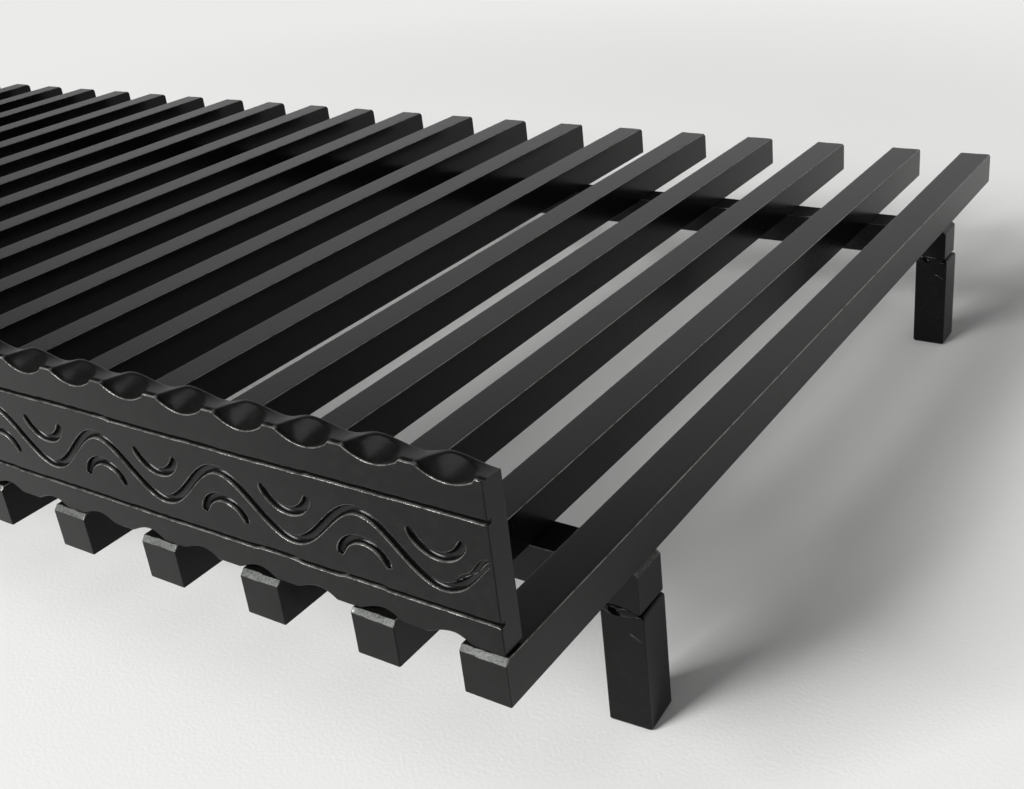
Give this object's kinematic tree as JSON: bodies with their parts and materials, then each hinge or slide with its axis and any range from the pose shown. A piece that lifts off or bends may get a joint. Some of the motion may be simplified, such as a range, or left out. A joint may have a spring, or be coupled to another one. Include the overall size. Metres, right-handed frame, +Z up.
{
  "type": "log grate",
  "caption": "Welded fireplace log grate: square bars on two crossbars and four short legs, with an embossed ornament bar standing on edge across the front.",
  "frame": {"origin": "centre of the footprint at the floor, under the legs", "axes": "+X along the hearth (length), +Y from the ornament bar to the back, +Z up"},
  "size_m": [0.72, 0.36, 0.1025],
  "materials": {
    "black_paint": "satin black stove paint over steel, rubbed lighter on the edges"
  },
  "bodies": {
    "root": {"grate_bar_01": "black_paint", "grate_bar_02": "black_paint", "grate_bar_03": "black_paint", "grate_bar_04": "black_paint", "grate_bar_05": "black_paint", "grate_bar_06": "black_paint", "grate_bar_07": "black_paint", "grate_bar_08": "black_paint", "grate_bar_09": "black_paint", "grate_bar_10": "black_paint", "grate_bar_11": "black_paint", "grate_bar_12": "black_paint", "grate_bar_13": "black_paint", "grate_bar_14": "black_paint", "grate_bar_15": "black_paint", "grate_bar_16": "black_paint", "grate_bar_17": "black_paint", "grate_bar_18": "black_paint", "grate_bar_19": "black_paint", "grate_bar_20": "black_paint", "grate_bar_21": "black_paint", "grate_bar_22": "black_paint", "front_crossbar": "black_paint", "rear_crossbar": "black_paint", "ornament_bar": "black_paint", "leg_front_right": "black_paint", "leg_front_left": "black_paint", "leg_rear_right": "black_paint", "leg_rear_left": "black_paint"}
  },
  "joints": []
}
